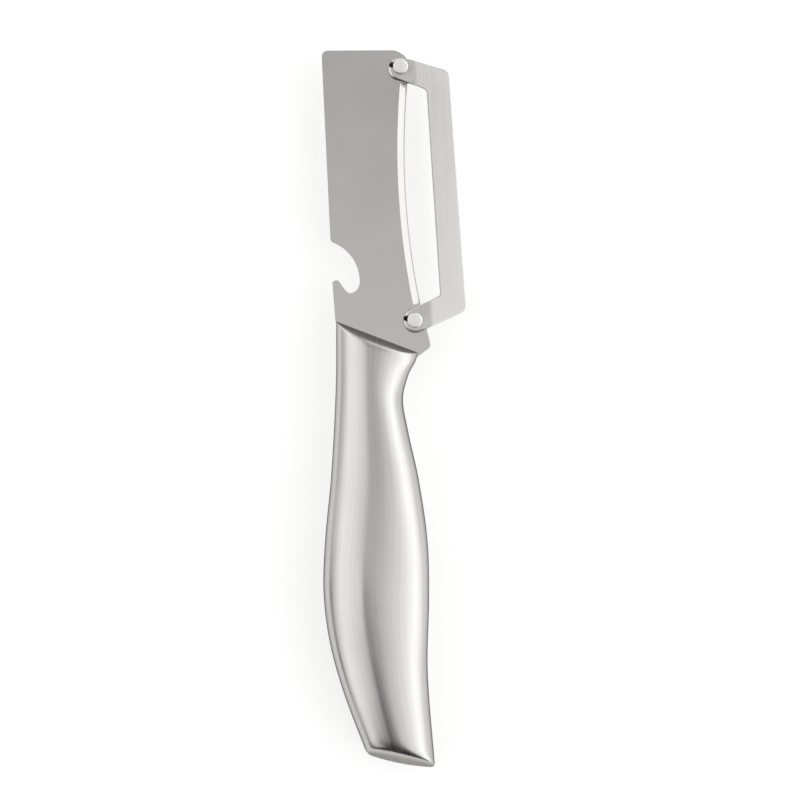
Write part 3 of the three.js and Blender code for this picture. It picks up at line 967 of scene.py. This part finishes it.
    def _inward(self, vertex: BMVert, ear: BMFace, rivet: Vector, bend: float) -> Vector:
        """Finds which way a point of an ear's outline moves as the rounding climbs to the flat front.

        Args:
            vertex: The point.
            ear: The ear's flat front face.
            rivet: Middle of the rivet in the ear's slot.
            bend: Level along x past which the ear bends into the bar.

        Returns:
            The way for each unit of inset, or nothing for points that stay where they are.
        """
        if vertex.co.x > bend or self._in_slot(vertex.co, rivet, self.slot_kept):
            return Vector()
        walls = [face.normal for face in vertex.link_faces if face is not ear]
        if self._in_slot(vertex.co, rivet, self.slot_mouth):
            outside = max(wall.dot(SLOT_AXIS) for wall in walls)
            return -SLOT_AXIS / max(outside, self.steepest)
        total = sum(walls, Vector())
        total.z = 0.0
        return -total.normalized()


@dataclass
class Rivet(Piece):
    """One rivet: a domed head, a thin neck for the guard's slot, a shank in the plate and a peened tail."""

    body: Body = Body.KNIFE
    slot: Slot = Slot.RIVET
    crease: float = 40.0
    doubles: float = 0.001
    plate_thickness: float = 1.5
    head_diameter: float = 4.4
    head_height: float = 1.2
    head_dome: float = 0.12
    rim_rounding: float = 0.42
    under_rounding: float = 0.5
    neck_diameter: float = 1.5
    shank_diameter: float = 2.4
    tail_diameter: float = 3.8
    tail_dome: float = 0.28
    rounding_steps: int = 5
    spin_steps: int = 72

    def middle(self) -> Vector:
        """Finds the rivet's middle, at the blade's middle plane."""
        low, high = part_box(self.node)
        return Vector(((low.x + high.x) / 2, (low.y + high.y) / 2, self.datum.origin.z))

    def build(self, finish: Material) -> None:
        """Builds the rivet and dresses it.

        Args:
            finish: The rivet's material.
        """
        bottom, top = (self.datum.read(corner).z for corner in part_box(self.node))
        centre = self.middle()
        mesh = bmesh.new()
        points = [
            mesh.verts.new(centre + Vector((radius, 0.0, height)) * MM)
            for radius, height in self._profile(top, bottom)
        ]
        for pair in zip(points, points[1:]):
            mesh.edges.new(pair)
        turn = {"cent": centre, "axis": (0.0, 0.0, 1.0), "angle": math.tau, "steps": self.spin_steps}
        bmesh.ops.spin(mesh, geom=[*mesh.verts, *mesh.edges], use_merge=True, **turn)
        self.close(mesh)
        self.hand_over(mesh, finish)

    def _profile(self, top: float, bottom: float) -> list[tuple[float, float]]:
        """Works out half the rivet's section, from the top of the head down to the tail.

        Args:
            top: Height of the head's crown.
            bottom: Height of the tail's crown.

        Returns:
            Points as radius and height.
        """
        seat = top - self.head_height
        plate = self.plate_thickness / 2
        lower = self._button(self.tail_diameter / 2, -bottom, self.tail_dome, plate)
        return [
            *self._button(self.head_diameter / 2, top, self.head_dome, seat),
            (self.neck_diameter / 2, seat),
            (self.neck_diameter / 2, plate),
            (self.shank_diameter / 2, plate),
            (self.shank_diameter / 2, -plate),
            *((radius, -height) for radius, height in reversed(lower)),
        ]

    def _button(self, radius: float, crown: float, dome: float, seat: float) -> list[tuple[float, float]]:
        """Works out half the section of a domed button with a rounded rim.

        Args:
            radius: The button's radius.
            crown: Height of its crown.
            dome: How far the dome falls from the crown to the rim.
            seat: Height of its flat underside.

        Returns:
            Points from the crown to the underside's rim, as radius and height.
        """
        points = []
        rounding = self.rim_rounding
        flat = radius - rounding
        for step in range(self.rounding_steps + 1):
            out = flat * step / self.rounding_steps
            points.append((out, crown - dome * (out / radius) ** 2))
        corner = points[-1][1] - rounding
        for step in range(1, self.rounding_steps + 1):
            turn = math.pi / 2 * step / self.rounding_steps
            points.append((flat + rounding * math.sin(turn), corner + rounding * math.cos(turn)))
        under = min(rounding, corner - seat) * self.under_rounding
        return [*points, (radius, seat + under), (radius - under, seat)]


@dataclass(frozen=True)
class SkinRow:
    """One row of the handle's skin: its place along the handle, its ends on both sides and its crest."""

    along: float
    spine: float
    finger: float
    crest: float


@dataclass
class HandleShell(Piece):
    """One pressed half of the hollow handle.

    Its skin is lofted across rows that turn from the mouth's slant to the butt's. Each section rises from
    both sides to a soft crest, and drafted walls close it at the mouth and the butt. Its lines are given as
    the distance below the mouth, and the distance from the spine, the height or the softness there.
    """

    SKIN_MAP = "skin"

    body: Body = Body.KNIFE
    slot: Slot = Slot.HANDLE
    crease: float = 50.0
    doubles: float = 0.0005
    side: Side = Side.FRONT
    mouth_tilt: float = 23.6
    length: float = 126.6
    butt_tilt: float = 13.8
    butt_bow: float = 0.8
    spine_side: Line = (
        (0, 0.6), (20, -0.5), (45, -3), (65, -5.8), (80, -6.9), (95, -5.65), (110, -2.15), (130, 4.45),
    )
    finger_side: Line = (
        (9, 24.5), (13, 23.3), (17, 21), (24, 19.05), (33, 20), (48, 22.55), (66, 24.25), (82, 23.95),
        (104, 22.5), (132, 23.3),
    )
    crest_line: Line = ((0, 10.3), (25, 9.2), (50, 8.5), (78, 5.2), (100, 7.0), (130, 12.6))
    crest_height: Line = ((0, 6.8), (25, 7.2), (75, 8.6), (110, 7.8), (132, 6.9))
    crest_softness: Line = ((0, 0.06), (30, 0.045), (60, 0.05), (95, 0.035), (132, 0.03))
    wall: float = 0.9
    mouth_draft: float = 18.0
    butt_draft: float = 28.0
    mouth_corner_radius: float = 0.7
    butt_corner_radius: float = 1.4
    spine_side_crown: float = 1.3
    finger_side_crown: float = 2.1
    rim_roundness: float = 2.2
    mouth_sharpness: float = 8.0
    butt_sharpness: float = 5.0
    seam_gap: float = 0.05
    map_half_width: float = 14.0
    columns: int = 72
    rows: int = 220
    settling_turns: int = 12

    def build(self, finish: Material) -> None:
        """Builds the shell and dresses it.

        Args:
            finish: The handle's material.
        """
        mesh = bmesh.new()
        skin_map = mesh.loops.layers.uv.new(self.SKIN_MAP)
        rims = []
        for inset in (0.0, self.wall):
            made = bmesh.ops.create_grid(mesh, x_segments=self.columns, y_segments=self.rows, size=1.0)
            verts = set(made["verts"])
            self._map_skin({face for vertex in verts for face in vertex.link_faces}, skin_map)
            rows = [self._row(self._along(place / self.rows), inset) for place in range(self.rows + 1)]
            for vertex in verts:
                row = rows[round((1 - vertex.co.y) / 2 * self.rows)]
                vertex.co = self._skin_point(vertex.co.x, row, inset)
            rims += [edge for edge in mesh.edges if edge.is_boundary and edge.verts[0] in verts]
        bmesh.ops.bridge_loops(mesh, edges=rims)
        self.close(mesh)
        self.hand_over(mesh, finish)

    def _map_skin(self, faces: set[BMFace], skin_map: BMLayerItem) -> None:
        """Lays the skin's map on a flat grid, in metres across and along the handle.

        Args:
            faces: The grid's faces, before they are shaped.
            skin_map: The map's layer.
        """
        for loop in (loop for face in faces for loop in face.loops):
            across = loop.vert.co.x * self.map_half_width * MM + self.side.value
            along = self._along((1 - loop.vert.co.y) / 2) * self.length * MM
            loop[skin_map].uv = (across, along)

    def _along(self, down: float) -> float:
        """Spaces rows closest together at both ends, from 0 at the mouth to 1 at the butt."""
        return (1 - math.cos(math.pi * down)) / 2

    def _row(self, along: float, inset: float) -> SkinRow:
        """Finds where one row of the skin ends on both sides and where its crest is.

        Args:
            along: From 0 at the mouth to 1 at the butt.
            inset: How far the row is set in from the outer surface.

        Returns:
            The row.
        """
        spine, finger, crest = self.spine_side[0][1], self.finger_side[0][1], self.crest_line[0][1]
        for _ in range(self.settling_turns):
            spine = self._rim(self.spine_side, spine, along, inset)
            finger = self._rim(self.finger_side, finger, along, inset)
            crest = follow(self.crest_line, -self._level(crest, along, inset)[0])
        return SkinRow(along, spine, finger, crest)

    def _rim(self, line: Line, rim: float, along: float, inset: float) -> float:
        """Settles one end of a row on a side of the handle.

        Args:
            line: The side that the row ends on.
            rim: The last guess of where it ends.
            along: From 0 at the mouth to 1 at the butt.
            inset: How far the row is set in.

        Returns:
            A closer guess.
        """
        level, from_mouth, from_butt = self._level(rim, along, inset)
        trim = inset + corner_inset(self.mouth_corner_radius, from_mouth)
        trim += corner_inset(self.butt_corner_radius, from_butt)
        return follow(line, -level) + (trim if line is self.spine_side else -trim)

    def _skin_point(self, across: float, row: SkinRow, inset: float) -> Vector:
        """Works out one point of the skin.

        Args:
            across: From -1 at the spine side's rim, over 0 at the crest, to 1 at the finger side's rim.
            row: The row that the point is on.
            inset: How far the point is set in from the outer surface.

        Returns:
            The point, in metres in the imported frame.
        """
        fall = math.sin(math.pi / 2 * abs(across))
        rim, crown = row.finger, self.finger_side_crown
        if across < 0:
            rim, crown = row.spine, self.spine_side_crown
        x = row.crest + (rim - row.crest) * fall
        level, from_mouth, from_butt = self._level(x, row.along, inset)
        soft = follow(self.crest_softness, -level)
        rounded = (math.hypot(fall, soft) - soft) / (math.hypot(1, soft) - soft)
        rise = max(1 - rounded**crown, 0.0) ** (1 / self.rim_roundness)
        section = (follow(self.crest_height, -level) - inset) * rise
        closed = soft_least(section, from_mouth / slope(self.mouth_draft), self.mouth_sharpness)
        z = soft_least(closed, from_butt / slope(self.butt_draft), self.butt_sharpness)
        return self.datum.place(x, level, self.side.value * (z + self.seam_gap / 2))

    def _level(self, x: float, along: float, inset: float) -> tuple[float, float, float]:
        """Finds a row's place at one distance from the spine.

        Args:
            x: Distance from the spine.
            along: From 0 at the mouth to 1 at the butt.
            inset: How far the skin is set in.

        Returns:
            The row's level, and its distances from the mouth and from the butt.
        """
        mouth_turn = math.cos(math.radians(self.mouth_tilt))
        butt_turn = math.cos(math.radians(self.butt_tilt))
        left = follow(self.spine_side, self.length)
        right = follow(self.finger_side, self.length)
        across = (2 * x - left - right) / (right - left)
        bow = self.butt_bow * (1 - across * across)
        mouth = -x * slope(self.mouth_tilt) - inset / mouth_turn
        butt = -self.length - x * slope(self.butt_tilt) - bow + inset / butt_turn
        level = mouth + (butt - mouth) * along
        return level, (mouth - level) * mouth_turn, (level - butt) * butt_turn


@dataclass(frozen=True)
class Wedge:
    """A wedge of bearings round the knife.

    Attributes:
        bearing: The wedge's middle, from +X.
        half_width: Half of the wedge.
    """

    bearing: float
    half_width: float

    def inside(self, graph: Graph, way: Way) -> NodeSocket:
        """Adds how far inside the wedge a direction is.

        Args:
            graph: The tent's graph.
            way: The direction's x, y and z.

        Returns:
            A value that is above zero inside the wedge.
        """
        x, y, _ = way
        across, along = math.cos(math.radians(self.bearing)), math.sin(math.radians(self.bearing))
        ahead = graph.plus(graph.times(x, across), graph.times(y, along))
        aside = graph.less(graph.times(x, along), graph.times(y, across))
        return graph.less(ahead, graph.math("DIVIDE", graph.math("ABSOLUTE", aside), slope(self.half_width)))


@dataclass
class Studio:
    """The floor, the light tent and the camera.

    The tent's lines are given as direction and level. Its ramps are given as the values between which they
    run and their results there.
    """

    datum: Datum
    floor_reach: float = 4000.0
    floor_colour: Colour = (0.52, 0.52, 0.517)
    floor_roughness: float = 0.9
    floor_shine: float = 0.1
    floor_glow: float = 0.61
    tent_panels: Line = (
        (-1.0, 0.68), (-0.966, 0.80), (-0.906, 1.12), (-0.829, 1.46), (-0.743, 1.37), (-0.6, 1.22),
        (-0.39, 1.12), (-0.2, 0.98), (-0.06, 0.85), (0.1, 0.83), (0.174, 0.87), (0.309, 1.04), (0.423, 1.13),
        (0.545, 1.27), (0.669, 1.48), (0.76, 1.71), (0.82, 1.85), (0.91, 1.70), (0.974, 1.4), (1.0, 1.0),
    )
    tent_middle: Line = (
        (-0.03, 1.0), (0.03, 0.92), (0.07, 0.70), (0.15, 0.52), (0.22, 0.52), (0.42, 0.8), (1.0, 0.8),
    )
    middle_edge: Ramp = (0.3, 0.6, 1.0, 0.0)
    tent_end: Line = ((0.25, 1.0), (0.65, 0.95))
    gap: Wedge = Wedge(257.0, 51.0)
    gap_edge: Ramp = (-0.01, 0.15, 1.0, 0.25)
    gap_heart: Ramp = (0.2, 0.45, 1.0, 0.2)
    band_foot: Ramp = (0.2, 0.3, 0.0, 1.0)
    band_top: Ramp = (0.45, 0.62, 0.55, 0.0)
    butt: Wedge = Wedge(262.0, 33.0)
    butt_edge: Ramp = (0.0, 0.12, 1.0, 0.0)
    horizon: Wedge = Wedge(238.0, 64.0)
    horizon_edge: Ramp = (0.0, 0.2, 0.0, 1.0)
    horizon_top: Ramp = (0.06, 0.30, 0.7, 0.0)
    view_centre: tuple[float, float] = (2.157, 2.357)
    view_width: float = 234.3
    view_roll: float = 2.71
    lens: float = 100.0
    sensor: float = 36.0
    near_clip: float = 10.0
    far_clip: float = 50000.0

    def build(self) -> None:
        """Builds the studio."""
        self._floor()
        self._tent()
        self._camera()
        bpy.context.scene.view_settings.view_transform = "Standard"
        LOG.info("studio: floor, tent with %d steps of light, and camera", len(self.tent_panels))

    def _floor(self) -> None:
        """Lays the floor that the knife lies on."""
        mesh = bmesh.new()
        bmesh.ops.create_grid(mesh, x_segments=4, y_segments=4, size=self.floor_reach * MM)
        data = bpy.data.meshes.new("floor")
        mesh.to_mesh(data)
        mesh.free()
        paint = bpy.data.materials.new("floor_paint")
        paint.use_nodes = True
        graph = Graph(paint.node_tree)
        rays = graph.add("ShaderNodeLightPath").outputs
        seen = graph.math("MAXIMUM", rays["Is Camera Ray"], rays["Is Glossy Ray"])
        seen = graph.math("MAXIMUM", seen, rays["Is Transmission Ray"])
        inputs = {
            "Base Color": (*self.floor_colour, 1.0),
            "Roughness": self.floor_roughness,
            "Specular IOR Level": self.floor_shine,
            "Emission Color": WHITE,
            "Emission Strength": graph.times(seen, self.floor_glow),
        }
        shader = graph.add("ShaderNodeBsdfPrincipled", inputs)
        graph.add("ShaderNodeOutputMaterial", {"Surface": shader.outputs["BSDF"]})
        data.materials.append(paint)
        floor = bpy.data.objects.new("floor", data)
        bpy.context.scene.collection.objects.link(floor)

    def _tent(self) -> None:
        """Hangs the light tent, whose level follows the direction that light comes from."""
        world = bpy.data.worlds.new("light_tent")
        bpy.context.scene.world = world
        world.use_nodes = True
        graph = Graph(world.node_tree)
        parts = graph.add("ShaderNodeSeparateXYZ", {"Vector": graph.coordinates("Generated")}).outputs
        way = (parts["X"], parts["Y"], parts["Z"])
        level = graph.times(self._panels(graph, way), self._shade(graph, way))
        glow = graph.add("ShaderNodeBackground", {"Color": WHITE, "Strength": level})
        graph.add("ShaderNodeOutputWorld", {"Surface": glow.outputs["Background"]})

    def _panels(self, graph: Graph, way: Way) -> NodeSocket:
        """Adds the soft panels at both sides, the dim middle between them and the end beyond the tip.

        Args:
            graph: The tent's graph.
            way: The direction's x, y and z.

        Returns:
            The panels' level.
        """
        x, y, _ = way
        middle = graph.ramp(graph.math("ABSOLUTE", x), *self.middle_edge)
        dim = graph.times(graph.less(1.0, self._steps(graph, y, self.tent_middle)), middle)
        level = graph.times(self._steps(graph, x, self.tent_panels), graph.less(1.0, dim))
        return graph.times(level, self._steps(graph, y, self.tent_end))

    def _shade(self, graph: Graph, way: Way) -> NodeSocket:
        """Adds the dark gap below the butt.

        A paler band crosses the gap, except straight below the butt. The horizon at the lower left is dark.

        Args:
            graph: The tent's graph.
            way: The direction's x, y and z.

        Returns:
            The share of the panels' level that is left.
        """
        height = way[2]
        inside = self.gap.inside(graph, way)
        shade = graph.times(graph.ramp(inside, *self.gap_edge), graph.ramp(inside, *self.gap_heart))
        band = graph.times(graph.ramp(height, *self.band_foot), graph.ramp(height, *self.band_top))
        band = graph.times(band, graph.ramp(self.butt.inside(graph, way), *self.butt_edge))
        shade = graph.plus(shade, graph.times(graph.less(1.0, shade), band))
        low = graph.ramp(self.horizon.inside(graph, way), *self.horizon_edge)
        low = graph.times(low, graph.ramp(height, *self.horizon_top))
        return graph.times(shade, graph.less(1.0, low))

    def _steps(self, graph: Graph, value: NodeSocket, line: Line) -> NodeSocket:
        """Adds a run of levels between -1 and 1.

        Args:
            graph: The tent's graph.
            value: Socket to look up.
            line: Points as value and level.

        Returns:
            The level.
        """
        share = graph.plus(graph.times(value, 0.5), 0.5)
        run = graph.add("ShaderNodeValToRGB", {"Fac": share})
        brightest = max(level for _, level in line)
        stops = run.color_ramp.elements
        while len(stops) < len(line):
            stops.new(0.5)
        for stop, (place, level) in zip(stops, line):
            stop.position = (place + 1) / 2
            stop.color = (level / brightest, level / brightest, level / brightest, 1.0)
        return graph.times(run.outputs["Color"], brightest)

    def _camera(self) -> None:
        """Sets the camera straight above the blade's middle plane, at the photograph's framing."""
        data = bpy.data.cameras.new("camera")
        data.lens = self.lens
        data.sensor_width = self.sensor
        data.clip_start = self.near_clip * MM
        data.clip_end = self.far_clip * MM
        camera = bpy.data.objects.new("camera", data)
        above = self.view_width * MM * self.lens / self.sensor
        camera.location = (self.view_centre[0] * MM, self.view_centre[1] * MM, self.datum.origin.z + above)
        camera.rotation_euler = (0.0, 0.0, -math.radians(self.view_roll))
        bpy.context.scene.collection.objects.link(camera)
        bpy.context.scene.camera = camera


def main() -> None:
    """Builds the knife and its studio in order."""
    logging.basicConfig(level=logging.INFO, format="%(message)s")
    groups = ShaderGroups()
    datum = Datum.on_blade(Blade.node, Blade.tang_length)
    rivets = [Rivet(datum, f"{place}_rivet_button", f"{place}_rivet") for place in ("upper", "lower")]
    middles = [rivet.middle() for rivet in rivets]
    Blade(datum).build(middles, groups)
    PeelGuard(datum).build(middles, groups)
    rivet_steel = RIVET_FINISH.material(groups)
    for rivet in rivets:
        rivet.build(rivet_steel)
    handle_steel = HANDLE_FINISH.material(groups)
    for side in Side:
        name = f"{side.name.lower()}_shell"
        HandleShell(datum, name, f"{side.name.lower()}_handle_shell", side=side).build(handle_steel)
    Studio(datum).build()


if __name__ == "__main__":
    main()
